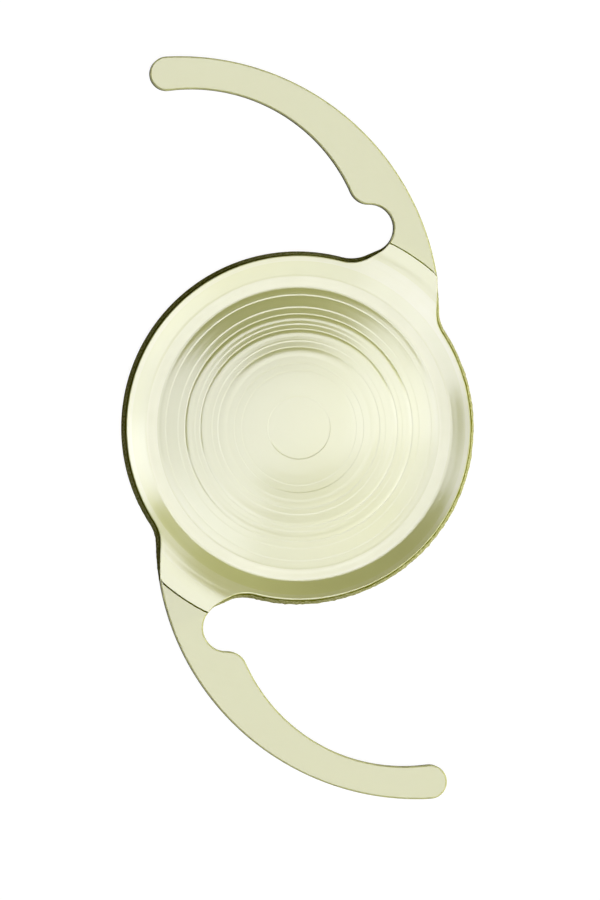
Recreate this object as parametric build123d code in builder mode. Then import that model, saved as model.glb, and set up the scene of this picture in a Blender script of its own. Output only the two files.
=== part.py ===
from build123d import *
import os
from math import cos, radians, sin, sqrt, tan

# Foldable one-piece intraocular lens: a biconvex optic with a ringed back face
# and two C-shaped support loops, turned from one blank and milled to its outline.
# The origin is on the optical axis at the lowest point of the front face.
# +Z points out of the back face, which carries the rings, and +Y along the loops.

# Optic, in millimetres
optic_dia = 6.0
center_thickness = 0.84
back_curve_radius = 13.0
front_curve_radius = 13.0
back_zone_dia = 4.8
front_zone_dia = 4.8

# Ring relief of the back face: where each ring lies, as a share of the zone's radius,
# and how deep it is, as a share of the usual depth
ring_shares = (0.224, 0.403, 0.456, 0.51, 0.569, 0.61, 0.65, 0.695, 0.729, 0.76, 0.802, 0.849, 0.936)
ring_depth_shares = (0.6, 0.6, 0.7, 0.55, 1.1, 0.6, 0.4, 1.2, 0.5, 0.4, 1.3, 0.65, 1.1)
ring_depth = 0.004
ring_riser_width = 0.02

# Ledge round the zone, and the land that rises from it, ever less steeply, to the rim
ledge_width = 0.18
ledge_fall = 0.006
land_foot_angle = 17
land_top_angle = 11
edge_flare = 0.095

# Shoulders that carry the loops: the land's rise dies away over a soft brow
crease_reach = 0.14
brow_width = 0.2
shoulder_reach = 0.51
step_height = 0.1

# Loops: the outer arc starts beside the optic and would crest outside the overall circle
overall_dia = 13.4
root_angle = 40
root_reach = 0.146
crest_angle = 137
crest_overrun = 0.48
inner_shift_x = 0.21
inner_shift_y = 0.92
tip_radius = 0.29
heel_radius = 0.62

# Notch between each loop's toe and the optic
notch_radius = 0.4
notch_reach = 0.605
notch_angle = 70.2
notch_wall_angle = 203
notch_heel_radius = 0.65
toe_radius = 0.335

# Edges
loop_back_bevel = 0.025
front_edge_round = 0.08
cut_overrun = 0.1

# The two loops are alike, half a turn apart
loop_turns = (0, 180)

# Radii and levels that follow from the sizes above
optic_radius = optic_dia / 2
overall_radius = overall_dia / 2
back_zone_radius = back_zone_dia / 2
front_zone_radius = front_zone_dia / 2
ledge_radius = back_zone_radius + ledge_width
crease_radius = optic_radius + crease_reach
brow_radius = crease_radius + brow_width
step_radius = optic_radius + shoulder_reach


def fall(radius, curve_radius):
    """How far a spherical face falls from its vertex at a radius."""
    return curve_radius - sqrt(curve_radius**2 - radius**2)


def back_level(radius):
    """Height of the back face's smooth base curve at a radius."""
    return center_thickness - fall(radius, back_curve_radius)


plate_level = fall(front_zone_radius, front_curve_radius)
zone_edge_level = back_level(back_zone_radius)
ledge_level = zone_edge_level - ledge_fall
mean_land_angle = (land_foot_angle + land_top_angle) / 2
crease_level = ledge_level + (crease_radius - ledge_radius) * tan(radians(mean_land_angle))
shoulder_level = crease_level + brow_width * tan(radians(land_top_angle) / 2)
loop_level = shoulder_level - step_height
cut_top_level = center_thickness + cut_overrun
cut_bottom_level = -cut_overrun
wall_foot_level = plate_level + front_edge_round
wall_slope = edge_flare / (shoulder_level - wall_foot_level)


def direction(angle):
    """The way that points at an angle in degrees from +X."""
    return Vector(cos(radians(angle)), sin(radians(angle)))


def meeting_point(center_a, reach_a, center_b, reach_b, side):
    """Where two circles meet, to the left (1) or right (-1) of the way from a to b."""
    way = center_b - center_a
    along = (reach_a**2 - reach_b**2 + way.length**2) / (2 * way.length)
    aside = sqrt(reach_a**2 - along**2)
    forward = way.normalized()
    return center_a + forward * along + forward.rotate(Axis.Z, 90) * (aside * side)


def on_circle(center, radius, toward):
    """The point of a circle that faces another point."""
    return center + (toward - center).normalized() * radius


def half_way(center, start, end):
    """The middle of the shorter arc from start to end."""
    radius = (start - center).length
    return center + (start + end - center * 2).normalized() * radius


# Outer arc of the upper loop, through the root beside the optic and up to its crest
optic_center = Vector(0, 0)
root_radius = optic_radius + root_reach
crest_radius = overall_radius + crest_overrun
crest_lean = root_radius * cos(radians(crest_angle - root_angle))
outer_center_distance = (crest_radius**2 - root_radius**2) / (2 * (crest_radius - crest_lean))
outer_radius = crest_radius - outer_center_distance
outer_center = direction(crest_angle) * outer_center_distance

# Round tip, which reaches the overall circle, and the inner arc that runs into it
tip_center = meeting_point(
    optic_center, overall_radius - tip_radius, outer_center, outer_radius - tip_radius, -1
)
inner_center = outer_center + Vector(inner_shift_x, inner_shift_y)
inner_radius = (tip_center - inner_center).length - tip_radius
tip_outer_point = on_circle(outer_center, outer_radius, tip_center)
tip_inner_point = on_circle(inner_center, inner_radius, tip_center)
tip_end_point = on_circle(tip_center, tip_radius, tip_center * 2 - (tip_outer_point + tip_inner_point) / 2)

# Heel on the outer side, between the optic and the outer arc
heel_center = meeting_point(
    optic_center, optic_radius + heel_radius, outer_center, outer_radius + heel_radius, -1
)
heel_optic_point = on_circle(optic_center, optic_radius, heel_center)
heel_outer_point = on_circle(outer_center, outer_radius, heel_center)

# Notch and toe on the inner side
notch_center = direction(notch_angle) * (optic_radius + notch_reach)
toe_center = meeting_point(
    inner_center, inner_radius + toe_radius, notch_center, notch_radius + toe_radius, 1
)
toe_inner_point = on_circle(inner_center, inner_radius, toe_center)
toe_notch_point = on_circle(notch_center, notch_radius, toe_center)

# Straight lower wall of the notch, and the heel that takes it into the optic
wall_way = direction(notch_wall_angle)
notch_side = direction(notch_wall_angle - 90)
wall_start = notch_center - notch_side * notch_radius
wall_offset_start = wall_start + notch_side * notch_heel_radius
wall_nearness = -wall_offset_start.dot(wall_way)
wall_clearance_sq = wall_offset_start.length**2 - (optic_radius + notch_heel_radius) ** 2
wall_length = wall_nearness - sqrt(wall_nearness**2 - wall_clearance_sq)
wall_end = wall_start + wall_way * wall_length
notch_heel_center = wall_end + notch_side * notch_heel_radius
notch_heel_optic_point = on_circle(optic_center, optic_radius, notch_heel_center)

# Ends of the step across the shoulder
step_outer_point = meeting_point(optic_center, step_radius, outer_center, outer_radius, -1)
step_notch_point = meeting_point(optic_center, step_radius, notch_center, notch_radius, -1)


def turned_arc(points, turn):
    """An arc through three points, turned about the optical axis."""
    ThreePointArc(*[point.rotate(Axis.Z, turn) for point in points])


def leaned(point, outward, level):
    """A wall point at a level: the wall leans in as it rises, and less so towards the step."""
    share_left = (step_radius - point.length) / (step_radius - optic_radius)
    lean = wall_slope * (level - wall_foot_level) * share_left
    return point - outward.normalized() * lean


def leaned_arc(center, start, end, hollow, level, turn):
    """A round stretch of the leaning wall; a hollow one has the material outside its circle."""
    outward = -1 if hollow else 1
    stops = (start, half_way(center, start, end), end)
    turned_arc([leaned(stop, (stop - center) * outward, level) for stop in stops], turn)


def half_body_outline(level, turn):
    """Half of the outline of the optic and its shoulders at a level."""
    leaned_arc(heel_center, heel_optic_point, heel_outer_point, True, level, turn)
    leaned_arc(outer_center, heel_outer_point, step_outer_point, False, level, turn)
    step_middle = half_way(optic_center, step_outer_point, step_notch_point)
    turned_arc((step_outer_point, step_middle, step_notch_point), turn)
    leaned_arc(notch_center, step_notch_point, wall_start, True, level, turn)
    wall_ends = [leaned(point, notch_side, level) for point in (wall_start, wall_end)]
    Line(*[point.rotate(Axis.Z, turn) for point in wall_ends])
    leaned_arc(notch_heel_center, wall_end, notch_heel_optic_point, True, level, turn)
    leaned_arc(optic_center, notch_heel_optic_point, -heel_optic_point, False, level, turn)


def loop_outline(turn):
    """The outline of one support loop, from the step on its shoulder round the tip and back."""
    arcs = (
        (outer_center, step_outer_point, tip_outer_point),
        (tip_center, tip_outer_point, tip_end_point),
        (tip_center, tip_end_point, tip_inner_point),
        (inner_center, tip_inner_point, toe_inner_point),
        (toe_center, toe_inner_point, toe_notch_point),
        (notch_center, toe_notch_point, step_notch_point),
        (optic_center, step_notch_point, step_outer_point),
    )
    for center, start, end in arcs:
        turned_arc((start, half_way(center, start, end), end), turn)


def ringed_face():
    """The back face in section: on one base curve, each step falls ever steeper to its riser."""
    start = (0, center_thickness)
    for share, depth_share in zip(ring_shares, ring_depth_shares):
        radius = share * back_zone_radius
        depth = depth_share * ring_depth
        foot = (radius, back_level(radius) - depth)
        top = (radius + ring_riser_width, back_level(radius + ring_riser_width))
        if start[0] == 0:
            TangentArc(start, foot, tangent=(1, 0))
        else:
            middle_radius = (start[0] + radius) / 2
            ThreePointArc(start, (middle_radius, back_level(middle_radius) - depth / 4), foot)
        Line(foot, top)
        start = top
    middle_radius = (start[0] + back_zone_radius) / 2
    ThreePointArc(start, (middle_radius, back_level(middle_radius)), (back_zone_radius, zone_edge_level))


with BuildPart() as intraocular_lens:
    # Support loops, milled to their own level, with a fine bevel on the back edge
    with BuildSketch(Plane.XY.offset(cut_bottom_level)):
        for turn in loop_turns:
            with BuildLine():
                loop_outline(turn)
            make_face()
    extrude(amount=loop_level - cut_bottom_level)
    loop_rims = edges().group_by(Axis.Z)[-1].sort_by(lambda edge: (edge @ 0.5).length)
    chamfer(loop_rims[len(loop_turns):], length=loop_back_bevel)

    # Outline of the optic and its shoulders, with a wall that leans in towards the back
    for level in (cut_bottom_level, cut_top_level):
        with BuildSketch(Plane.XY.offset(level)):
            with BuildLine():
                for turn in loop_turns:
                    half_body_outline(level, turn)
            make_face()
    loft(ruled=True)

    # Turned faces: ringed back face, ledge, rising land and level shoulder, plate and front face
    with BuildSketch(Plane.XZ):
        with BuildLine():
            ringed_face()
            TangentArc((back_zone_radius, zone_edge_level), (ledge_radius, ledge_level), tangent=(1, 0))
            land_foot, land_top = (ledge_radius, ledge_level), (crease_radius, crease_level)
            TangentArc(land_foot, land_top, tangent=direction(land_foot_angle))
            TangentArc(land_top, (brow_radius, shoulder_level), tangent=direction(land_top_angle))
            Polyline(
                (brow_radius, shoulder_level),
                (crest_radius, shoulder_level),
                (crest_radius, plate_level),
                (front_zone_radius, plate_level),
            )
            TangentArc((0, 0), (front_zone_radius, plate_level), tangent=(1, 0))
            Line((0, 0), (0, center_thickness))
        make_face()
    revolve(axis=Axis.Z, mode=Mode.INTERSECT)

    # Front edge of the whole outline, rounded
    plate_face = faces().filter_by(Plane.XY).sort_by(Axis.Z)[0]
    fillet(plate_face.outer_wire().edges(), radius=front_edge_round)

intraocular_lens.part.label = "intraocular_lens"
os.makedirs("parts", exist_ok=True)
export_step(intraocular_lens.part, "parts/intraocular_lens.step")
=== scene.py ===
from collections import namedtuple
from math import atan2, ceil, cos, pi, radians, sin, sqrt, tan
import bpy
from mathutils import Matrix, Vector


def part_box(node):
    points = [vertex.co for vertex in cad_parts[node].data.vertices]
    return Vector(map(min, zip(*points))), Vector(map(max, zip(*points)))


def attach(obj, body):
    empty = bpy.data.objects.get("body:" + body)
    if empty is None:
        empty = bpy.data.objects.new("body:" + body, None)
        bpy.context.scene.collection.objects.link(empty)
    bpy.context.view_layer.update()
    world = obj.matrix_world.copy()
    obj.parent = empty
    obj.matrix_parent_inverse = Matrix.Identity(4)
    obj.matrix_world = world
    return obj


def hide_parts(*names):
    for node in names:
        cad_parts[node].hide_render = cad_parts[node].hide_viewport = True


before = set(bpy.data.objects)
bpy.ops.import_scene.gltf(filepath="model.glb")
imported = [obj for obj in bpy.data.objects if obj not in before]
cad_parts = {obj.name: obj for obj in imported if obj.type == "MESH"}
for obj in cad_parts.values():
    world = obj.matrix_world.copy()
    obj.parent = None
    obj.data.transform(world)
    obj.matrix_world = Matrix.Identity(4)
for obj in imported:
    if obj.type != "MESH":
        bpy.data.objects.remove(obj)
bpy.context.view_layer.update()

from types import SimpleNamespace

import bmesh
import bpy
from bpy.props import FloatProperty, IntProperty, PointerProperty, StringProperty
from mathutils import Matrix, Vector, noise

bl_info = {
    "name": "Intraocular Lens",
    "version": (1, 0, 0),
    "blender": (4, 5, 0),
    "location": "3D View > Sidebar > Lens",
    "description": "Makes a foldable one-piece intraocular lens of soft acrylic and its studio",
    "category": "Object",
}

# The lens lies on its front face, with the ringed back face up and its loops along Y.
# Its skin is one closed mesh: rows round the axis over the optic and shoulders, rows
# across each loop, and strips of wall round the whole outline.

MM = 0.001
NODE = "intraocular_lens"
LOWEST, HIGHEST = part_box(NODE)

# The rings of the back face, from the axis out: where each one's foot lies, as a share of the
# zone's radius, its depth, as a share of the usual depth, how late it falls (1 is evenly, and
# more is nearer to its foot), its riser, as a share of the usual width, and whether it is crisp
RINGS = (
    (0.219, 0.6, 3, 0.4, True),
    (0.403, 0.6, 6, 0.8, True),
    (0.456, 0.7, 1.2, 0.55, True),
    (0.51, 0.55, 1, 1, False),
    (0.569, 1.1, 2.2, 1, True),
    (0.61, 0.6, 1, 1, True),
    (0.65, 0.4, 1, 1, False),
    (0.695, 1.2, 2.6, 1, True),
    (0.729, 0.5, 1, 1, True),
    (0.76, 0.4, 1, 1, False),
    (0.802, 1.3, 2.6, 1, True),
    (0.849, 0.65, 1, 1, True),
    (0.936, 1.1, 1.1, 1, True),
)

# The last zone falls to the ledge by this share of the usual depth, mostly near its edge
LAST_DEPTH_SHARE = 0.9
LAST_POWER = 3

# Rows in the narrowest ring, and how closely a ring's rows gather at its foot
LEAST_ROWS = 4
ROW_POWER = 1.5

# The land is turned in three flats, and the outer two are painted a paler yellow, as painted light.
# They end at these shares of its width and at these heights in millimetres over its mean curve.
LAND_FLAT_SHARES = (0, 0.45, 0.75, 1)
LAND_FLAT_LIFTS = (0, -0.003, -0.0016, 0)

# How quickly the lip of the rim narrows on both sides of its widest place
LIP_POWER = 8

# The cutter tore the wall this far round to both sides of its ragged side
RAGGED_REACH = radians(120)

# Rounds that find the level of the leaning wall's top
RIM_ROUNDS = 4

# Places of the top and bottom corner in a column of the wall, and of its dark olive strip
TOP, BOTTOM = 0, -1
DARK_LINE_BAND = 2

# Rows of a loop over which the curve of its step dies away
STEP_BLEND_ROWS = 12

# The turn over which a loop's outer stations fan out to the step, as a multiple of how
# far the step's outer end leads its inner end, and the share of the round tip that each
# side of the loop takes
FAN_SHARE = 3
TIP_SIDE_SHARE = 0.3

# How the acrylic bends and scatters light, and the clear skin that tumbling leaves on it,
# which is thinner on the loops
ACRYLIC_IOR = 1.55
GLOSS_ROUGHNESS = (0.15, 0.18)
SKIN_IOR = 1.5
SKIN_ROUGHNESS = 0.16
FULL_SKIN = 1
LOOP_SKIN = 0.4

# The part of the noise that shows as grain on the frosted wall, and the grain's depth as a
# share of its size
GRAIN_RANGE = (0.32, 0.66)
GRAIN_DEPTH_SHARE = 1 / 6

# The room dims between these heights of the line of sight, as sines, down to this share
CEILING_RISE = (0.5, 0.85)
CEILING_DIM = 0.15
WHITE = "#ffffff"

# The camera sees from this share of its distance to as many times its distance
CLIP_SPAN = 50

# Round lamps: azimuth, elevation and angular radius in degrees, and brightness. They
# stand this far from the lens, in metres.
LAMP_DISTANCE = 0.3
LAMPS = {
    "overhead_lamp": (293, 82, 15, 7.2),
    "front_lamp": (330, 3, 10, 24),
    "right_lamp": (20, 3, 10, 24),
}

# Level panels that only shine on the gloss: their heading in degrees, the angles at which
# their front, back, left and right ends lie from the axis, in degrees too, their colour and
# brightness, and their height in metres. The ringed face mirrors the six along 100 degrees,
# and the land mirrors the others on its far side. Panels that overlap hang at heights of
# their own, because the light of two at one height doesn't add up.
COOL, SKY = "#eeeeff", "#c7c7ff"
GLOSS_PANELS = {
    "main_gloss_panel": (100, (16.5, 7, 25.8, 26), COOL, 6, 0.25),
    "wing_gloss_panel": (100, (9, 7, -26, 45), COOL, 6, 0.25),
    "brace_gloss_panel": (100, (-2, 7, 48, -25.8), COOL, 6.5, 0.25),
    "left_gloss_panel": (100, (-7, 19, 27.5, -7), COOL, 6.3, 0.25),
    "right_gloss_panel": (100, (-7, 19, 7, 45), COOL, 3.9, 0.25),
    "far_gloss_panel": (100, (-19, 45, 27.5, 45), COOL, 5.5, 0.25),
    "corner_gloss_panel": (228, (40, -20, 12, 15), COOL, 1.8, 0.22),
    "side_gloss_panel": (345, (45, -11.5, 20, 8), SKY, 1.2, 0.28),
    "edge_gloss_panel": (345, (50, -25, 20, 22), SKY, 1.35, 0.31),
}

# Finishes of the skin, in the order of its materials; the ledge, land and outer land ones are paler
# copies of the polished one, painted light
POLISHED, PAINTED_LIGHT_LEDGE, PAINTED_LIGHT_LAND, PAINTED_LIGHT_RIM, SATIN, FROSTED, DARK_LINE = range(7)

Station = namedtuple("Station", "point outward")


def length(name, description, millimetres):
    """A size, given in millimetres and kept in metres."""
    return FloatProperty(
        name=name, description=description, default=millimetres * MM, unit="LENGTH", precision=6
    )


def angle(name, description, degrees):
    """An angle, given in degrees."""
    return FloatProperty(
        name=name, description=description, default=radians(degrees), subtype="ANGLE"
    )


def number(name, description, value):
    """A number without a unit."""
    return FloatProperty(name=name, description=description, default=value, precision=3)


def hex_colour(name, description, value):
    """A colour, given as an sRGB hex value."""
    return StringProperty(name=name, description=description, default=value)


class OpticSizes(bpy.types.PropertyGroup):
    """The optic with its ringed back face, ledge, land and edge, and the shoulders."""

    optic_dia: length("Optic", "Diameter of the optic at the foot of its wall", 6.0)
    center_thickness: length("Centre", "Thickness on the axis", (HIGHEST[2] - LOWEST[2]) / MM)
    back_curve_radius: length("Back curve", "Radius of the cap that the rings are cut into", 13.0)
    front_curve_radius: length("Front curve", "Radius of the front face", 13.0)
    back_zone_dia: length("Back zone", "Diameter of the ringed zone", 4.8)
    front_zone_dia: length("Front zone", "Diameter of the curved front zone", 4.8)
    ring_depth: length("Ring depth", "Usual depth of a ring's step", 0.0044)
    ring_riser_width: length("Ring riser", "Usual width of a ring's sloped riser", 0.022)
    ledge_width: length("Ledge", "Width of the level ledge round the zone", 0.18)
    ledge_fall: length("Ledge fall", "How far the ledge falls to its outer edge", 0.006)
    land_foot_angle: angle("Land foot", "Slope of the land at the ledge", 17)
    land_top_angle: angle("Land top", "Slope of the land at its crease", 11)
    edge_flare: length("Flare", "How far the wall leans in on its way up", 0.095)
    crease_reach: length("Crease", "From the optic's edge out to the crease", 0.14)
    brow_width: length("Brow", "Width over which the land's rise dies away", 0.2)
    shoulder_reach: length("Shoulder", "From the optic's edge out to the step", 0.51)
    step_height: length("Step", "Height of the step down to the loops", 0.1)
    corner_blend: length("Corner blend", "Half width of the soft corners of the ledge", 0.045)
    rim_lip: length("Rim lip", "Greatest width of the fine level lip along the rim", 0.012)
    lip_heading: angle("Lip heading", "Side where the lip is widest", 270)
    rim_round: length("Rim round", "Fine round along the rim of the back face", 0.01)


class LoopSizes(bpy.types.PropertyGroup):
    """The support loops, notches and toes, and the edges of the outline."""

    overall_dia: length("Overall", "Circle that the loop tips reach", 13.4)
    root_angle: angle("Root angle", "Where the outer arc starts", 40)
    root_reach: length("Root reach", "From the optic's edge out to the root", 0.146)
    crest_angle: angle("Crest angle", "Where the outer arc would crest", 137)
    crest_overrun: length("Crest overrun", "How far past the overall circle it would crest", 0.48)
    inner_shift_x: length("Inner shift X", "From the outer arc's centre to the inner arc's", 0.21)
    inner_shift_y: length("Inner shift Y", "From the outer arc's centre to the inner arc's", 0.92)
    tip_radius: length("Tip", "Radius of the round tip", 0.29)
    heel_radius: length("Heel", "Radius between the optic and the outer arc", 0.62)
    notch_radius: length("Notch", "Radius of the notch", 0.4)
    notch_reach: length("Notch reach", "From the optic's edge out to the notch's centre", 0.605)
    notch_angle: angle("Notch angle", "Where the notch lies", 70.2)
    notch_wall_angle: angle("Notch wall", "Heading of the notch's straight wall", 203)
    notch_heel_radius: length("Notch heel", "Radius between the notch's wall and the optic", 0.65)
    toe_radius: length("Toe", "Radius of the toe", 0.335)
    back_bevel: length("Back bevel", "Bevel on the back edge of the loops", 0.025)
    front_round: length("Front round", "Round on the whole front edge", 0.08)
    riser_width: length("Step riser", "Width of the step's sloped riser", 0.026)
    ragged_heading: angle("Ragged side", "Side where the cutter left the wall ragged", 310)
    ragged_height: length("Ragged height", "How far the ragged wall stands out", 0.016)
    ragged_size: length("Ragged size", "Size of the wall's ragged spots", 0.06)
    # The top of the wall down to this height takes the dark olive colour of the line
    dark_line_height: length("Burr", "Height of the dark line that the cutter left over the wall", 0.12)


class MeshSpacing(bpy.types.PropertyGroup):
    """How close the corners of the skin lie."""

    outline: length("Outline", "Spacing along the outline of the body", 0.05)
    loop: length("Loops", "Spacing along the loops", 0.06)
    rows: length("Rows", "Spacing of the rows on the faces", 0.045)
    squeeze: length("Squeeze", "Least spacing of rows at the rim", 0.001)
    across: IntProperty(name="Across", description="Cells across a loop", default=14, min=2)
    tip: IntProperty(name="Tip", description="Rows over the round tip", default=8, min=2)
    round: IntProperty(name="Round", description="Cells over the front round", default=6, min=2)
    wall: IntProperty(name="Wall", description="Cells up the wall", default=4, min=1)


class AcrylicLook(bpy.types.PropertyGroup):
    """Colours and grain of the soft acrylic."""

    body: hex_colour("Body", "Pale yellow of the polished faces", "#cbcd80")
    # Painted light: the ledge, land and rim colours are paler copies of the body colour, so those
    # faces look more brightly lit
    ledge: hex_colour("Ledge", "Paler yellow of the buffed ledge round the rings", "#e2e2a6")
    land: hex_colour("Land", "Yellow of the turned land and shoulders", "#d5d78c")
    rim: hex_colour("Rim", "Paler yellow of the lapped outer land", "#dddda4")
    cloud: hex_colour("Cloud", "Deeper yellow of the faint clouds in every glossy face", "#c7c77a")
    edge: hex_colour("Edge", "Pale olive of the frosted edge wall", "#e8e6aa")
    edge_deep: hex_colour("Edge grain", "Deeper olive in the grain of the wall", "#84862e")
    # A plain dark olive colour for the thin line at the steps and along the top of the optic's wall
    line_olive: hex_colour("Burnished", "Dark olive where the cutter burnished the edge", "#8a8c2c")
    line_olive_deep: hex_colour("Burnished streaks", "Deepest olive of the burnished edge", "#6c6e14")
    cloud_size: length("Cloud size", "Size of the clouds in the polished faces", 1.4)
    mark_spacing: length("Turning marks", "Spacing of the lathe's turning marks", 0.12)
    mark_depth: length("Mark depth", "Depth of the turning marks", 0.0012)
    grain_size: length("Grain", "Size of the grain of the frosted wall", 0.035)
    # Streaks of deeper olive along that dark line
    streak_size: length("Streaks", "Size of the streaks along the burnished edge", 0.3)


class StudioSettings(bpy.types.PropertyGroup):
    """Camera, floor and room."""

    focal_length: FloatProperty(
        name="Focal length", description="Of the camera", default=500, subtype="DISTANCE_CAMERA"
    )
    sensor: FloatProperty(
        name="Sensor", description="Its long side", default=36, subtype="DISTANCE_CAMERA"
    )
    view_height: length("View height", "Height of the view at the lens", 15.295)
    view_x: length("View X", "Where the view is centred", 0.042)
    view_y: length("View Y", "Where the view is centred", -0.376)
    view_z: length("View Z", "Level at which the view is centred", 0.3)
    camera_tilt: angle("Camera tilt", "How far the camera leans towards -X", 2.8)
    floor_width: length("Floor", "Side of the square table top", 500)
    floor_lit: hex_colour("Lit floor", "Olive that the floor throws back at the lens", "#4a4a18")
    floor_seen: hex_colour("Seen floor", "Grey that it adds where no shadow falls", "#6c6c6c")
    floor_glow: number("Floor glow", "White that the seen floor has even in the shadow", 0.95)
    fill: hex_colour("Fill", "Warm light from the room on the lens", "#fff24a")
    fill_strength: number("Fill strength", "Strength of the fill", 0.04)


def linear(hex_value):
    """An sRGB hex value as a linear colour."""
    channels = [int(hex_value[i : i + 2], 16) / 255 for i in (1, 3, 5)]
    return [c / 12.92 if c <= 0.04045 else ((c + 0.055) / 1.055) ** 2.4 for c in channels] + [1]


def add_node(tree, kind, inputs=None, **settings):
    """Adds a node with its settings; an input is given a value or linked to an output."""
    node = tree.nodes.new(kind)
    for name, value in settings.items():
        setattr(node, name, value)
    for socket, value in (inputs or {}).items():
        if isinstance(value, bpy.types.NodeSocket):
            tree.links.new(value, node.inputs[socket])
        else:
            node.inputs[socket].default_value = value
    return node


def fresh_tree(owner):
    """The empty node tree of a material or world."""
    owner.use_nodes = True
    owner.node_tree.nodes.clear()
    return owner.node_tree


# Plane geometry


def direction(heading):
    """The way that points at an angle from +X."""
    return Vector((cos(heading), sin(heading)))


def heading_of(way):
    """The angle from +X at which a way points."""
    return atan2(way.y, way.x)


def meeting_point(center_a, reach_a, center_b, reach_b, side):
    """Where two circles meet, to the left (1) or right (-1) of the way from a to b."""
    way = center_b - center_a
    along = (reach_a**2 - reach_b**2 + way.length_squared) / (2 * way.length)
    aside = sqrt(reach_a**2 - along**2)
    forward = way.normalized()
    return center_a + forward * along + Vector((-forward.y, forward.x)) * (aside * side)


def on_circle(center, radius, toward):
    """The point of a circle that faces another point."""
    return center + (toward - center).normalized() * radius


def arc(center, start, end, spacing, hollow=False):
    """Stations along the shorter arc from start up to end, which the next stretch starts with."""
    radius = (start - center).length
    first = heading_of(start - center)
    turn = (heading_of(end - center) - first + pi) % (2 * pi) - pi
    steps = max(2, ceil(abs(turn) * radius / spacing))
    side = -1 if hollow else 1
    ways = [direction(first + turn * i / steps) for i in range(steps)]
    return [Station(center + way * radius, way * side) for way in ways]


def turned(station, half):
    """A station as it is, or its twin half a turn on."""
    return Station(-station.point, -station.outward) if half else station


def lens_shape(optic, loop):
    """Centres, radii and levels that follow from the sizes."""
    form = SimpleNamespace()
    center = Vector((0, 0))
    form.optic_radius = optic.optic_dia / 2
    form.back_zone_radius = optic.back_zone_dia / 2
    form.front_zone_radius = optic.front_zone_dia / 2
    form.ledge_radius = form.back_zone_radius + optic.ledge_width
    form.crease_radius = form.optic_radius + optic.crease_reach
    form.brow_radius = form.crease_radius + optic.brow_width
    form.step_radius = form.optic_radius + optic.shoulder_reach
    form.riser_radius = form.step_radius - loop.riser_width

    form.plate_level = fall(form.front_zone_radius, optic.front_curve_radius)
    form.zone_edge_level = optic.center_thickness
    form.zone_edge_level -= fall(form.back_zone_radius, optic.back_curve_radius)
    form.ledge_level = form.zone_edge_level - optic.ledge_fall
    form.land_width = form.crease_radius - form.ledge_radius
    mean_slope = tan((optic.land_foot_angle + optic.land_top_angle) / 2)
    form.crease_level = form.ledge_level + form.land_width * mean_slope
    form.shoulder_level = form.crease_level + optic.brow_width * tan(optic.land_top_angle / 2)
    form.loop_level = form.shoulder_level - optic.step_height
    form.wall_foot_level = form.plate_level + loop.front_round
    form.wall_slope = optic.edge_flare / (form.shoulder_level - form.wall_foot_level)
    form.land_points = []
    for share, lift in zip(LAND_FLAT_SHARES, LAND_FLAT_LIFTS):
        radius, level = land_point(form, optic, share)
        form.land_points.append((radius, level + lift * MM))

    # Outer arc, round tip and inner arc of the upper loop
    overall_radius = loop.overall_dia / 2
    root_radius = form.optic_radius + loop.root_reach
    crest_radius = overall_radius + loop.crest_overrun
    crest_lean = root_radius * cos(loop.crest_angle - loop.root_angle)
    center_distance = (crest_radius**2 - root_radius**2) / (2 * (crest_radius - crest_lean))
    form.outer_radius = crest_radius - center_distance
    form.outer_center = direction(loop.crest_angle) * center_distance
    reach_a, reach_b = overall_radius - loop.tip_radius, form.outer_radius - loop.tip_radius
    form.tip_center = meeting_point(center, reach_a, form.outer_center, reach_b, -1)
    form.inner_center = form.outer_center + Vector((loop.inner_shift_x, loop.inner_shift_y))
    form.inner_radius = (form.tip_center - form.inner_center).length - loop.tip_radius
    form.tip_outer = on_circle(form.outer_center, form.outer_radius, form.tip_center)
    form.tip_inner = on_circle(form.inner_center, form.inner_radius, form.tip_center)

    # Heel between the optic and the outer arc
    reach_a, reach_b = form.optic_radius + loop.heel_radius, form.outer_radius + loop.heel_radius
    form.heel_center = meeting_point(center, reach_a, form.outer_center, reach_b, -1)
    form.heel_optic = on_circle(center, form.optic_radius, form.heel_center)
    form.heel_outer = on_circle(form.outer_center, form.outer_radius, form.heel_center)

    # Notch and toe
    form.notch_center = direction(loop.notch_angle) * (form.optic_radius + loop.notch_reach)
    reach_a, reach_b = form.inner_radius + loop.toe_radius, loop.notch_radius + loop.toe_radius
    form.toe_center = meeting_point(form.inner_center, reach_a, form.notch_center, reach_b, 1)
    form.toe_inner = on_circle(form.inner_center, form.inner_radius, form.toe_center)
    form.toe_notch = on_circle(form.notch_center, loop.notch_radius, form.toe_center)

    # Straight wall of the notch, and the heel that takes it into the optic
    wall_way = direction(loop.notch_wall_angle)
    form.notch_side = direction(loop.notch_wall_angle - pi / 2)
    form.wall_start = form.notch_center - form.notch_side * loop.notch_radius
    offset_start = form.wall_start + form.notch_side * loop.notch_heel_radius
    nearness = -offset_start.dot(wall_way)
    clearance_sq = offset_start.length_squared - (form.optic_radius + loop.notch_heel_radius) ** 2
    form.wall_length = nearness - sqrt(nearness**2 - clearance_sq)
    form.wall_end = form.wall_start + wall_way * form.wall_length
    form.notch_heel_center = form.wall_end + form.notch_side * loop.notch_heel_radius
    form.notch_heel_optic = on_circle(center, form.optic_radius, form.notch_heel_center)

    # Ends of the step across the shoulder, at the foot and at the top of its riser
    outer, notch = (form.outer_center, form.outer_radius), (form.notch_center, loop.notch_radius)
    form.step_outer = meeting_point(center, form.step_radius, *outer, -1)
    form.step_notch = meeting_point(center, form.step_radius, *notch, -1)
    form.riser_outer = meeting_point(center, form.riser_radius, *outer, -1)
    form.riser_notch = meeting_point(center, form.riser_radius, *notch, -1)
    return form


def fall(radius, curve_radius):
    """How far a spherical face falls from its vertex at a radius."""
    return curve_radius - sqrt(curve_radius**2 - radius**2)


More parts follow.
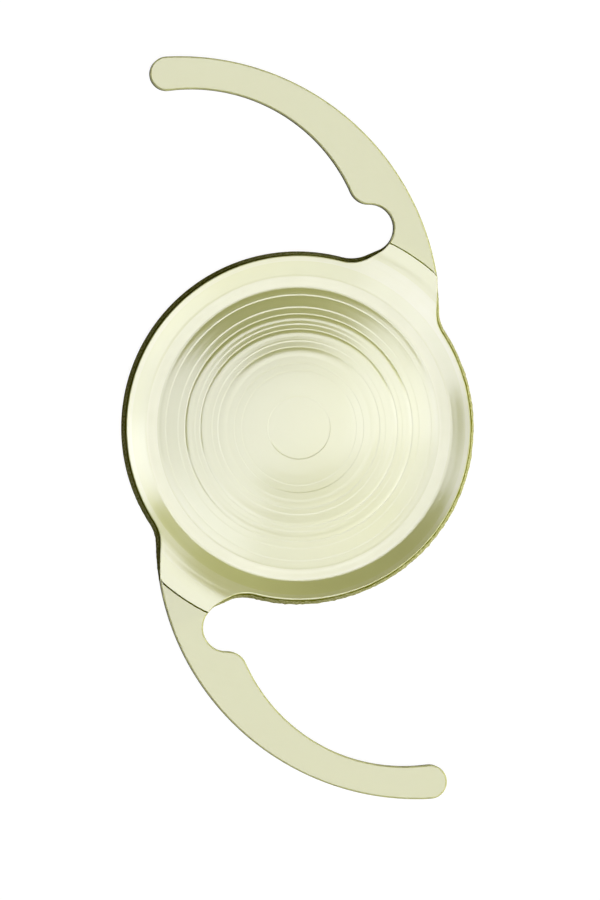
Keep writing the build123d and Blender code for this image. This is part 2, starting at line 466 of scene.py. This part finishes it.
def land_point(form, optic, share):
    """Radius and level on the arc of the land, at a share of its width."""
    foot, top = sin(optic.land_foot_angle), sin(optic.land_top_angle)
    curve_radius = form.land_width / (foot - top)
    slope_sine = foot - (foot - top) * share
    rise = curve_radius * (sqrt(1 - slope_sine**2) - cos(optic.land_foot_angle))
    return form.ledge_radius + form.land_width * share, form.ledge_level + rise


def land_level(form, optic, radius):
    """Level of the back face at a radius on the land, the brow or the shoulder."""
    if radius >= form.brow_radius:
        return form.shoulder_level
    if radius >= form.crease_radius:
        curve_radius = optic.brow_width / sin(optic.land_top_angle)
        return form.shoulder_level - fall(form.brow_radius - radius, curve_radius)
    flats = zip(form.land_points, form.land_points[1:])
    for (foot_radius, foot_level), (top_radius, top_level) in flats:
        if radius <= top_radius:
            share = (radius - foot_radius) / (top_radius - foot_radius)
            return foot_level + (top_level - foot_level) * share
    return form.crease_level


# Stations round the outline


def body_stations(form, spacing):
    """Half the outline of the optic and shoulders: up to the step, and on from it."""
    before = arc(form.heel_center, form.heel_optic, form.heel_outer, spacing, hollow=True)
    before += arc(form.outer_center, form.heel_outer, form.riser_outer, spacing)
    before.append(Station(form.riser_outer, (form.riser_outer - form.outer_center).normalized()))
    after = arc(form.notch_center, form.riser_notch, form.wall_start, spacing, hollow=True)
    wall_steps = ceil(form.wall_length / spacing)
    for i in range(wall_steps):
        after.append(Station(form.wall_start.lerp(form.wall_end, i / wall_steps), form.notch_side))
    after += arc(form.notch_heel_center, form.wall_end, form.notch_heel_optic, spacing, hollow=True)
    after += arc(Vector((0, 0)), form.notch_heel_optic, -form.heel_optic, spacing)
    return before, after


def loop_stations(form, spacing, tip_rows, across):
    """The two sides of the upper loop from its step, with as many stations each, and its tip."""
    inner = arc(form.notch_center, form.step_notch, form.toe_notch, spacing, hollow=True)
    inner += arc(form.toe_center, form.toe_notch, form.toe_inner, spacing)
    inner += arc(form.inner_center, form.toe_inner, form.tip_inner, spacing, hollow=True)

    # Each station of the outer side faces one of the inner side, and the first ones fan out
    first = heading_of(form.step_notch - form.outer_center)
    lead = first - heading_of(form.step_outer - form.outer_center)
    fan = FAN_SHARE * lead
    outer = []
    for station in inner:
        heading = heading_of(station.point - form.outer_center)
        share_left = max(0, 1 - (heading - first) / fan)
        way = direction(heading - lead * share_left**2)
        outer.append(Station(form.outer_center + way * form.outer_radius, way))

    # The tip's sides, then its end
    radius = (form.tip_outer - form.tip_center).length
    start = heading_of(form.tip_outer - form.tip_center)
    turn = (heading_of(form.tip_inner - form.tip_center) - start) % (2 * pi)
    for i in range(tip_rows + 1):
        share = TIP_SIDE_SHARE * i / tip_rows
        for side, heading in ((outer, start + turn * share), (inner, start + turn * (1 - share))):
            side.append(Station(form.tip_center + direction(heading) * radius, direction(heading)))
    end = []
    for i in range(1, across):
        way = direction(start + turn * (TIP_SIDE_SHARE + (1 - 2 * TIP_SIDE_SHARE) * i / across))
        end.append(Station(form.tip_center + way * radius, way))
    return outer, inner, end


# The skin


class Skin:
    """Corners, faces and sharp edges of one closed skin."""

    def __init__(self):
        self.corners = []
        self.faces = []
        self.finishes = []
        self.sharp = set()

    def add(self, points):
        """Adds corners and gives their numbers."""
        first = len(self.corners)
        self.corners.extend(points)
        return list(range(first, len(self.corners)))

    def bridge(self, row_a, row_b, finish=POLISHED, closed=False):
        """Joins two rows of corners by quads, in one finish or one for each quad."""
        count = len(row_a)
        for i in range(count if closed else count - 1):
            j = (i + 1) % count
            self.faces.append((row_a[i], row_a[j], row_b[j], row_b[i]))
            self.finishes.append(finish if isinstance(finish, int) else finish[i])

    def fan(self, center, row):
        """Joins a closed row to one corner."""
        for i, corner in enumerate(row):
            self.faces.append((center, corner, row[(i + 1) % len(row)]))
            self.finishes.append(POLISHED)

    def crease(self, row, closed=False):
        """Marks the edges along a row as sharp."""
        for i in range(len(row) if closed else len(row) - 1):
            self.sharp.add(frozenset((row[i], row[(i + 1) % len(row)])))

    def spread(self, last_row, points, finish=POLISHED, sharp=False, apex=None):
        """Adds a closed row and joins it to the last one, or the first row to the apex."""
        row = self.add(points)
        if last_row:
            self.bridge(last_row, row, finish, closed=True)
        else:
            self.fan(self.add([apex])[0], row)
        if sharp:
            self.crease(row, closed=True)
        return row

    def make_object(self, name, materials):
        """Turns the skin into a smooth shaded object with its faces outward."""
        mesh = bpy.data.meshes.new(name)
        mesh.from_pydata(self.corners, [], self.faces)
        for material in materials:
            mesh.materials.append(material)
        mesh.polygons.foreach_set("material_index", self.finishes)
        mesh.polygons.foreach_set("use_smooth", [True] * len(self.faces))
        sharp = [frozenset(edge.vertices) in self.sharp for edge in mesh.edges]
        mesh.edges.foreach_set("use_edge_sharp", sharp)
        shell = bmesh.new()
        shell.from_mesh(mesh)
        bmesh.ops.recalc_face_normals(shell, faces=shell.faces)
        shell.to_mesh(mesh)
        shell.free()
        mesh.validate()
        piece = bpy.data.objects.new(name, mesh)
        bpy.context.collection.objects.link(piece)
        return piece


def at(point, level):
    """A plane point at a level."""
    return (point.x, point.y, level)


def raggedness(loop, point, level):
    """How far the milled wall stands out at a place, from -1 to 1; away from the torn side, 0."""
    nearness = cos(heading_of(point) - loop.ragged_heading) - cos(RAGGED_REACH)
    return min(1, max(0, nearness)) * noise.noise(Vector(at(point, level)) / loop.ragged_size)


def wall_corners(form, optic, loop, spacing, station, on_loop):
    """Corners down the wall at a station, from the edge of the back face to that of the front."""
    if on_loop:
        edge, top, lean = loop.back_bevel, form.loop_level, 0
    else:
        share_left = form.step_radius - station.point.length
        share_left /= form.step_radius - form.optic_radius
        edge, top, lean = optic.rim_round, form.shoulder_level, form.wall_slope * share_left
        # The rim moves in as its level rises, so both are found in a few rounds
        for _ in range(RIM_ROUNDS):
            depth = lean * (top - form.wall_foot_level) + edge
            top = land_level(form, optic, (station.point - station.outward * depth).length)
    # The edge is a round of two facets
    share = 1 - cos(pi / 4)
    corners = []
    for depth, drop in ((edge, 0), (edge * share, edge * share), (0, edge)):
        level = top - drop
        depth += lean * (level - form.wall_foot_level)
        corners.append(at(station.point - station.outward * depth, level))
    wall_top = top - edge - loop.dark_line_height
    for i in range(spacing.wall + 1):
        level = wall_top + (form.wall_foot_level - wall_top) * i / spacing.wall
        depth = lean * (level - form.wall_foot_level)
        if not on_loop:
            depth -= loop.ragged_height * raggedness(loop, station.point, level)
        corners.append(at(station.point - station.outward * depth, level))
    for i in range(1, spacing.round + 1):
        turn = pi / 2 * i / spacing.round
        depth = loop.front_round * (1 - cos(turn))
        level = form.wall_foot_level - loop.front_round * sin(turn)
        corners.append(at(station.point - station.outward * depth, level))
    return corners


def step_row(skin, first, last, radius, across):
    """A row of corners along a step's circle, between two that exist."""
    start, end = Vector(skin.corners[first]), Vector(skin.corners[last])
    heading = heading_of(start)
    turn = heading_of(end) - heading
    ways = [direction(heading + turn * (i / across)) for i in range(1, across)]
    return [first] + skin.add([at(way * radius, start.z) for way in ways]) + [last]


def loop_face(skin, form, spacing, sides, end, first_row):
    """Fills one flat face of a loop, from the step to the tip, between corners that exist."""
    outer, inner = sides
    level = skin.corners[first_row[0]][2]
    last = len(outer) - 1

    def straight(i, j):
        """A point of the straight line across the loop between the stations i."""
        start, stop = [Vector(skin.corners[side[i]]) for side in sides]
        return start.lerp(stop, j / spacing.across)

    rows = [first_row]
    for i in range(1, last):
        row = []
        for j in range(1, spacing.across):
            bulge = Vector((0, 0, 0))
            if i < STEP_BLEND_ROWS:
                flat = straight(0, j).xy
                on_step = flat.normalized() * form.step_radius
                bulge = (on_step - flat).to_3d() * (1 - i / STEP_BLEND_ROWS) ** 2
            if i > last - spacing.tip:
                share = (i - last + spacing.tip) / spacing.tip
                bulge = (Vector(skin.corners[end[j - 1]]) - straight(last, j)) * share**2
            row.append(at(straight(i, j) + bulge, level))
        rows.append([outer[i]] + skin.add(row) + [inner[i]])
    rows.append([outer[last]] + end + [inner[last]])
    for row_a, row_b in zip(rows, rows[1:]):
        skin.bridge(row_a, row_b, SATIN)


def back_rows(form, optic, spacing):
    """Section of the back face from the axis to the land: radius, level and whether it's sharp."""
    rows = []
    start = 0

    def cap_level(radius):
        """Level of the spherical cap that the rings are cut into."""
        return optic.center_thickness - fall(radius, optic.back_curve_radius)

    for share, depth_share, power, riser_share, crisp in RINGS:
        foot = share * form.back_zone_radius
        depth = depth_share * optic.ring_depth
        steps = max(LEAST_ROWS, ceil((foot - start) / spacing.rows))
        for i in range(1, steps + 1):
            reach = 1 - (1 - i / steps) ** ROW_POWER
            radius = start + (foot - start) * reach
            rows.append((radius, cap_level(radius) - depth * reach**power, crisp and i == steps))
        start = foot + riser_share * optic.ring_riser_width
        rows.append((start, cap_level(start), crisp))

    # The last zone
    edge = form.back_zone_radius - optic.corner_blend
    steps = ceil((edge - start) / spacing.rows)
    radii = [start + (edge - start) * i / steps for i in range(1, steps + 1)]
    width = form.back_zone_radius - start
    for radius in radii + [form.back_zone_radius]:
        drop = LAST_DEPTH_SHARE * optic.ring_depth * ((radius - start) / width) ** LAST_POWER
        rows.append((radius, cap_level(radius) - drop, False))

    # The ledge between its soft corners
    curve_radius = (optic.ledge_width**2 + optic.ledge_fall**2) / (2 * optic.ledge_fall)
    far = optic.ledge_width - optic.corner_blend
    for reach in (optic.corner_blend, (optic.corner_blend + far) / 2, far, optic.ledge_width):
        level = form.zone_edge_level - fall(reach, curve_radius)
        rows.append((form.back_zone_radius + reach, level, False))
    return rows


def land_radii(form, optic, spacing):
    """Radii of the rows from the land's foot to the step, and those that are sharp."""
    radii = [form.ledge_radius + optic.corner_blend]
    land_stops = [radius for radius, _ in form.land_points[1:]]
    for stop in land_stops + [form.brow_radius, form.riser_radius]:
        steps = ceil((stop - radii[-1]) / spacing.rows)
        start = radii[-1]
        radii += [start + (stop - start) * i / steps for i in range(1, steps)] + [stop]
    return radii[:-1], land_stops[:-1]


def front_rows(form, optic, spacing):
    """Section of the front face from the axis over the flat plate: radius and level."""
    # This face is plain, so its rows lie twice as far apart, and the plate has only one
    steps = ceil(form.front_zone_radius / (2 * spacing.rows))
    radii = [form.front_zone_radius * i / steps for i in range(1, steps + 1)]
    rows = [(radius, fall(radius, optic.front_curve_radius)) for radius in radii]
    plate_width = form.optic_radius - form.front_zone_radius
    rows.append((form.front_zone_radius + plate_width / 3, form.plate_level))
    return rows


def lay_back_face(skin, form, optic, spacing, rim):
    """The ringed back face, the land and the shoulders, from the axis out to the rim."""
    points = [Vector(skin.corners[corner]) for corner in rim]
    ways = [point.xy.normalized() for point in points]
    reaches = [point.xy.length for point in points]
    row = None
    for radius, level, sharp in back_rows(form, optic, spacing):
        # The ledge takes a paler copy of the acrylic, painted light
        finish = PAINTED_LIGHT_LEDGE if radius > form.back_zone_radius else POLISHED
        around = [at(way * radius, level) for way in ways]
        row = skin.spread(row, around, finish, sharp, apex=(0, 0, optic.center_thickness))

    # Where the outline cuts a row short, it ends at the foot of the rim's lip
    lips = []
    for way in ways:
        share = max(0, cos(heading_of(way) - optic.lip_heading)) ** LIP_POWER
        lips.append(spacing.squeeze + optic.rim_lip * share)
    radii, sharp_radii = land_radii(form, optic, spacing)
    for i, radius in enumerate(radii):
        squeezed = (len(radii) - i) * spacing.squeeze
        stops = [min(radius, reach - lip - squeezed) for reach, lip in zip(reaches, lips)]
        # The land takes a paler copy of the acrylic, and its outer two flats a paler one still,
        # painted light
        finish = PAINTED_LIGHT_RIM if sharp_radii[0] < radius <= form.crease_radius else PAINTED_LIGHT_LAND
        around = [at(way * stop, land_level(form, optic, stop)) for way, stop in zip(ways, stops)]
        row = skin.spread(row, around, finish, radius in sharp_radii)
    starts = []
    for point, way, reach, lip in zip(points, ways, reaches, lips):
        starts.append(at(way * (reach - lip), point.z))
    # The lip along the rim takes the land's paler copy too, painted light
    row = skin.spread(row, starts, PAINTED_LIGHT_LAND, sharp=True)
    skin.bridge(row, rim, PAINTED_LIGHT_LAND, closed=True)


def lay_front_face(skin, form, optic, spacing, rim):
    """The front face and the flat plate, from the axis out to the rim."""
    ways = [Vector(skin.corners[corner]).xy.normalized() for corner in rim]
    row = None
    for radius, level in front_rows(form, optic, spacing):
        around = [at(way * radius, level) for way in ways]
        row = skin.spread(row, around, sharp=radius == form.front_zone_radius, apex=(0, 0, 0))
    skin.bridge(row, rim, closed=True)


def lens_skin(optic, loop, spacing):
    """The whole lens as one closed skin."""
    form = lens_shape(optic, loop)
    skin = Skin()
    before, after = body_stations(form, spacing.outline)
    outer, inner, end = loop_stations(form, spacing.loop, spacing.tip, spacing.across)
    columns, edge_finishes, dark_line_finishes, top_rim, bottom_rim = [], [], [], [], []
    for half in (0, 1):

        def stand(stations, on_loop):
            """Stands a column of wall corners at each station."""
            return [
                skin.add(wall_corners(form, optic, loop, spacing, turned(station, half), on_loop))
                for station in stations
            ]

        before_walls, after_walls = stand(before, False), stand(after, False)
        outer_walls, inner_walls = stand(outer, True), stand(inner, True)
        end_walls = stand(end, True)
        loop_walls = outer_walls + end_walls + inner_walls[::-1]
        columns += before_walls + loop_walls + after_walls
        # The rim round of the optic and shoulders takes the land's paler copy, painted light
        edge_finishes += [PAINTED_LIGHT_LAND] * len(before_walls) + [SATIN] * len(loop_walls)
        edge_finishes += [PAINTED_LIGHT_LAND] * len(after_walls)
        # The top of the optic's and shoulders' wall takes the dark olive line; that of the loops
        # stays frosted
        dark_line_finishes += [DARK_LINE] * len(before_walls) + [FROSTED] * len(loop_walls)
        dark_line_finishes += [DARK_LINE] * len(after_walls)

        # The step and the loop's face, at the first corner of each column and at the last
        for place, rim in ((TOP, top_rim), (BOTTOM, bottom_rim)):
            ends = before_walls[-1][place], after_walls[0][place]
            body_row = step_row(skin, *ends, form.riser_radius, spacing.across)
            ends = outer_walls[0][place], inner_walls[0][place]
            loop_row = step_row(skin, *ends, form.step_radius, spacing.across)
            # The step's riser takes the dark olive line
            skin.bridge(body_row, loop_row, DARK_LINE if place == TOP else POLISHED)
            if place == TOP:
                skin.crease(body_row)
                skin.crease(loop_row)
            sides = [[column[place] for column in walls] for walls in (outer_walls, inner_walls)]
            tip_row = [column[place] for column in end_walls]
            loop_face(skin, form, spacing, sides, tip_row, loop_row)
            rim += [column[place] for column in before_walls[:-1]] + body_row
            rim += [column[place] for column in after_walls[1:]]

    # Strips of wall round the whole outline
    bands = list(zip(*columns))
    for i, (band_a, band_b) in enumerate(zip(bands, bands[1:])):
        finish = edge_finishes
        if i == DARK_LINE_BAND:
            finish = dark_line_finishes
        elif DARK_LINE_BAND < i <= DARK_LINE_BAND + spacing.wall:
            finish = FROSTED
        skin.bridge(band_a, band_b, finish, closed=True)
    skin.crease(bands[0], closed=True)
    skin.crease(bands[-1], closed=True)

    lay_back_face(skin, form, optic, spacing, top_rim)
    lay_front_face(skin, form, optic, spacing, bottom_rim)
    return skin


# Materials


def glossy_acrylic(look, name, colour, skin_weight):
    """Soft cross-linked acrylic, turned and tumbled to a gloss; on the loops it is less tumbled.

    It gives the eye a pale yellow that turns olive where no lamp is mirrored, under a
    soft broad sheen, with faint clouds in its depth and faint turning marks round the
    axis. The real marks are a few micrometres apart, so they are drawn coarser.
    """
    material = bpy.data.materials.new(name)
    tree = fresh_tree(material)
    place = add_node(tree, "ShaderNodeTexCoord").outputs["Object"]
    clouds = add_node(
        tree,
        "ShaderNodeTexNoise",
        {"Vector": place, "Scale": 1 / look.cloud_size, "Detail": 3, "Roughness": 0.5},
    ).outputs["Fac"]
    tint = add_node(
        tree,
        "ShaderNodeMix",
        {"Factor": clouds, "A": linear(colour), "B": linear(look.cloud)},
        data_type="RGBA",
    )
    least, most = GLOSS_ROUGHNESS
    sheen = add_node(tree, "ShaderNodeMapRange", {"Value": clouds, "To Min": least, "To Max": most})
    flat_place = add_node(
        tree, "ShaderNodeVectorMath", {0: place, 1: (1, 1, 0)}, operation="MULTIPLY"
    ).outputs["Vector"]
    reach = add_node(tree, "ShaderNodeVectorMath", {0: flat_place}, operation="LENGTH")
    marks = add_node(
        tree,
        "ShaderNodeTexNoise",
        {"W": reach.outputs["Value"], "Scale": 1 / look.mark_spacing, "Detail": 1},
        noise_dimensions="1D",
    )
    relief = add_node(
        tree,
        "ShaderNodeBump",
        {"Height": marks.outputs["Fac"], "Strength": 1, "Distance": look.mark_depth},
    ).outputs["Normal"]
    shader = add_node(
        tree,
        "ShaderNodeBsdfPrincipled",
        {
            "Base Color": tint.outputs["Result"],
            "Roughness": sheen.outputs["Result"],
            "IOR": ACRYLIC_IOR,
            "Coat Weight": skin_weight,
            "Coat Roughness": SKIN_ROUGHNESS,
            "Coat IOR": SKIN_IOR,
            "Normal": relief,
            "Coat Normal": relief,
        },
    )
    add_node(tree, "ShaderNodeOutputMaterial", {"Surface": shader.outputs["BSDF"]})
    return material


def frosted_edge(look):
    """The same acrylic where the milling cutter left it frosted.

    It gives the eye a matt olive wall with a fine grain. The real grain is about a
    micrometre and doesn't show, so it is drawn as coarse as grain_size says.
    """
    material = bpy.data.materials.new("frosted_milled_acrylic")
    tree = fresh_tree(material)
    place = add_node(tree, "ShaderNodeTexCoord").outputs["Object"]
    grain = add_node(
        tree,
        "ShaderNodeTexNoise",
        {"Vector": place, "Scale": 1 / look.grain_size, "Detail": 3, "Roughness": 0.6},
    ).outputs["Fac"]
    pit, peak = GRAIN_RANGE
    specks = add_node(
        tree, "ShaderNodeMapRange", {"Value": grain, "From Min": pit, "From Max": peak}
    )
    tint = add_node(
        tree,
        "ShaderNodeMix",
        {"Factor": specks.outputs["Result"], "A": linear(look.edge_deep), "B": linear(look.edge)},
        data_type="RGBA",
    )
    relief = add_node(
        tree,
        "ShaderNodeBump",
        {"Height": grain, "Strength": 0.6, "Distance": look.grain_size * GRAIN_DEPTH_SHARE},
    )
    shader = add_node(
        tree,
        "ShaderNodeBsdfPrincipled",
        {
            "Base Color": tint.outputs["Result"],
            "Roughness": 0.8,
            "IOR": ACRYLIC_IOR,
            "Specular IOR Level": 0,
            "Normal": relief.outputs["Normal"],
        },
    )
    add_node(tree, "ShaderNodeOutputMaterial", {"Surface": shader.outputs["BSDF"]})
    return material


def dark_line_edge(look):
    """The same acrylic in a plain dark olive, at the step and along the top of the wall.

    It gives the eye a thin dark olive line, a little uneven along its length.
    """
    material = bpy.data.materials.new("dark_line_acrylic")
    tree = fresh_tree(material)
    place = add_node(tree, "ShaderNodeTexCoord").outputs["Object"]
    streaks = add_node(
        tree, "ShaderNodeTexNoise", {"Vector": place, "Scale": 1 / look.streak_size, "Detail": 2}
    )
    tint = add_node(
        tree,
        "ShaderNodeMix",
        {"Factor": streaks.outputs["Fac"], "A": linear(look.line_olive_deep), "B": linear(look.line_olive)},
        data_type="RGBA",
    )
    shader = add_node(
        tree,
        "ShaderNodeBsdfPrincipled",
        {
            "Base Color": tint.outputs["Result"],
            "Roughness": 0.6,
            "IOR": ACRYLIC_IOR,
            "Specular IOR Level": 0,
        },
    )
    add_node(tree, "ShaderNodeOutputMaterial", {"Surface": shader.outputs["BSDF"]})
    return material


# Studio


def seen_directly(tree):
    """1 for what the camera, a reflection or a clear body sees, and 0 for light on things."""
    path = add_node(tree, "ShaderNodeLightPath")
    seen = path.outputs["Is Camera Ray"]
    for ray in ("Is Glossy Ray", "Is Transmission Ray"):
        inputs = {0: seen, 1: path.outputs[ray]}
        seen = add_node(tree, "ShaderNodeMath", inputs, operation="MAXIMUM").outputs[0]
    return seen


def pale_floor(studio):
    """A matt white table top, which shows as white and takes a faint shadow."""
    material = bpy.data.materials.new("white_table_laminate")
    tree = fresh_tree(material)
    table = add_node(tree, "ShaderNodeBsdfDiffuse", {"Color": linear(studio.floor_lit)})
    shadowed = add_node(tree, "ShaderNodeBsdfDiffuse", {"Color": linear(studio.floor_seen)})
    glow = add_node(
        tree, "ShaderNodeEmission", {"Color": linear(WHITE), "Strength": studio.floor_glow}
    )
    white = add_node(tree, "ShaderNodeAddShader", {0: shadowed.outputs[0], 1: glow.outputs[0]})
    mixed = add_node(
        tree,
        "ShaderNodeMixShader",
        {0: seen_directly(tree), 1: table.outputs[0], 2: white.outputs[0]},
    )
    add_node(tree, "ShaderNodeOutputMaterial", {"Surface": mixed.outputs[0]})
    return material


def pale_world(world, studio):
    """A white room whose ceiling is dim, and which gives little light of its own."""
    tree = fresh_tree(world)
    way = add_node(tree, "ShaderNodeTexCoord").outputs["Generated"]
    up = add_node(tree, "ShaderNodeSeparateXYZ", {0: way}).outputs["Z"]
    low, high = CEILING_RISE
    brightness = add_node(
        tree,
        "ShaderNodeMapRange",
        {"Value": up, "From Min": low, "From Max": high, "To Min": 1, "To Max": CEILING_DIM},
        interpolation_type="SMOOTHSTEP",
    ).outputs["Result"]
    room = add_node(tree, "ShaderNodeBackground", {"Color": linear(WHITE), "Strength": brightness})
    fill = add_node(
        tree,
        "ShaderNodeBackground",
        {"Color": linear(studio.fill), "Strength": studio.fill_strength},
    )
    mixed = add_node(
        tree,
        "ShaderNodeMixShader",
        {0: seen_directly(tree), 1: fill.outputs[0], 2: room.outputs[0]},
    )
    add_node(tree, "ShaderNodeOutputWorld", {"Surface": mixed.outputs[0]})


def add_lamp(name, azimuth, elevation, spread, brightness):
    """A round soft lamp that faces the lens and isn't mirrored in it."""
    azimuth, elevation, spread = radians(azimuth), radians(elevation), radians(spread)
    data = bpy.data.lights.new(name, "AREA")
    data.shape = "DISK"
    data.size = 2 * LAMP_DISTANCE * tan(spread)
    data.energy = brightness * pi * pi * (data.size / 2) ** 2
    lamp = bpy.data.objects.new(name, data)
    lamp.visible_camera = False
    lamp.visible_glossy = False
    way = (direction(azimuth) * cos(elevation)).to_3d() + Vector((0, 0, sin(elevation)))
    lamp.location = way * LAMP_DISTANCE
    lamp.rotation_euler = way.to_track_quat("Z", "Y").to_euler()
    bpy.context.collection.objects.link(lamp)


def add_gloss_panel(name, heading, ends, colour, brightness, height):
    """A level panel overhead that only shines on the gloss."""
    heading = radians(heading)
    data = bpy.data.lights.new(name, "AREA")
    data.shape = "RECTANGLE"
    front, back, left, right = [height * tan(radians(end)) for end in ends]
    data.size = front + back
    data.size_y = left + right
    data.energy = brightness * pi * data.size * data.size_y
    data.color = linear(colour)[:3]
    panel = bpy.data.objects.new(name, data)
    middle = direction(heading) * ((front - back) / 2)
    middle += direction(heading + pi / 2) * ((left - right) / 2)
    panel.location = at(middle, height)
    panel.rotation_euler = (0, 0, heading)
    panel.visible_diffuse = False
    panel.visible_camera = False
    bpy.context.collection.objects.link(panel)


def add_floor(studio):
    """A level square of table top under the lens."""
    mesh = bpy.data.meshes.new("floor")
    reach = studio.floor_width / 2
    corners = [(x * reach, y * reach, LOWEST[2]) for x, y in ((-1, -1), (1, -1), (1, 1), (-1, 1))]
    mesh.from_pydata(corners, [], [(0, 1, 2, 3)])
    mesh.materials.append(pale_floor(studio))
    floor = bpy.data.objects.new("floor", mesh)
    bpy.context.collection.objects.link(floor)


def add_camera(studio):
    """A long lens over the lens, leaning a little to one side."""
    data = bpy.data.cameras.new("camera")
    data.lens = studio.focal_length
    data.sensor_width = studio.sensor
    distance = studio.view_height * studio.focal_length / studio.sensor
    data.clip_start = distance / CLIP_SPAN
    data.clip_end = distance * CLIP_SPAN
    camera = bpy.data.objects.new("camera", data)
    lean = Matrix.Rotation(-studio.camera_tilt, 4, "Y")
    target = Vector((studio.view_x, studio.view_y, studio.view_z))
    camera.matrix_world = Matrix.Translation(target) @ lean @ Matrix.Translation((0, 0, distance))
    bpy.context.collection.objects.link(camera)
    bpy.context.scene.camera = camera


class LENS_OT_add_studio(bpy.types.Operator):
    """Adds the camera, the floor, the room, the gloss panels and the lamps"""

    bl_idname = "lens.add_studio"
    bl_label = "Add Studio"

    def execute(self, context):
        scene = context.scene
        scene.view_settings.view_transform = "Standard"
        add_camera(scene.lens_studio)
        add_floor(scene.lens_studio)
        if scene.world is None:
            scene.world = bpy.data.worlds.new("room")
        pale_world(scene.world, scene.lens_studio)
        for name, place in GLOSS_PANELS.items():
            add_gloss_panel(name, *place)
        for name, place in LAMPS.items():
            add_lamp(name, *place)
        return {"FINISHED"}


class LENS_OT_add_lens(bpy.types.Operator):
    """Adds the lens: its finely drawn skin in polished and frosted acrylic"""

    bl_idname = "lens.add_lens"
    bl_label = "Add Lens"

    def execute(self, context):
        scene = context.scene
        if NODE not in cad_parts:
            raise RuntimeError(f"The frame has no node named {NODE}")
        skin = lens_skin(scene.lens_optic, scene.lens_loops, scene.lens_spacing)
        look = scene.lens_look
        # The ledge, land and outer land materials are paler copies of the polished acrylic, painted
        # light
        materials = (
            glossy_acrylic(look, "polished_soft_acrylic", look.body, FULL_SKIN),
            glossy_acrylic(look, "ledge_acrylic_painted_paler", look.ledge, FULL_SKIN),
            glossy_acrylic(look, "land_acrylic_painted_paler", look.land, FULL_SKIN),
            glossy_acrylic(look, "outer_land_acrylic_painted_paler", look.rim, FULL_SKIN),
            glossy_acrylic(look, "satin_soft_acrylic", look.body, LOOP_SKIN),
            frosted_edge(look),
            dark_line_edge(look),
        )
        lens = skin.make_object("acrylic_lens", materials)
        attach(lens, "root")
        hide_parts(NODE)
        return {"FINISHED"}


class LENS_PT_maker(bpy.types.Panel):
    """Lists what the lens and its studio are made from"""

    bl_label = "Intraocular Lens"
    bl_idname = "LENS_PT_maker"
    bl_space_type = "VIEW_3D"
    bl_region_type = "UI"
    bl_category = "Lens"

    def draw(self, context):
        for label, operator, groups in (
            ("Studio", "lens.add_studio", ("lens_studio",)),
            ("Lens", "lens.add_lens", ("lens_optic", "lens_loops", "lens_spacing", "lens_look")),
        ):
            box = self.layout.box()
            box.label(text=label)
            for group in groups:
                settings = getattr(context.scene, group)
                for name in settings.bl_rna.properties.keys():
                    if name not in ("rna_type", "name"):
                        box.prop(settings, name)
            box.operator(operator)


GROUPS = {
    "lens_optic": OpticSizes,
    "lens_loops": LoopSizes,
    "lens_spacing": MeshSpacing,
    "lens_look": AcrylicLook,
    "lens_studio": StudioSettings,
}
CLASSES = (*GROUPS.values(), LENS_OT_add_studio, LENS_OT_add_lens, LENS_PT_maker)


def register():
    for cls in CLASSES:
        bpy.utils.register_class(cls)
    for name, group in GROUPS.items():
        setattr(bpy.types.Scene, name, PointerProperty(type=group))


def unregister():
    for name in GROUPS:
        delattr(bpy.types.Scene, name)
    for cls in reversed(CLASSES):
        bpy.utils.unregister_class(cls)


def main():
    """Makes the studio and the lens."""
    register()
    bpy.ops.lens.add_studio()
    bpy.ops.lens.add_lens()


if __name__ == "__main__":
    main()
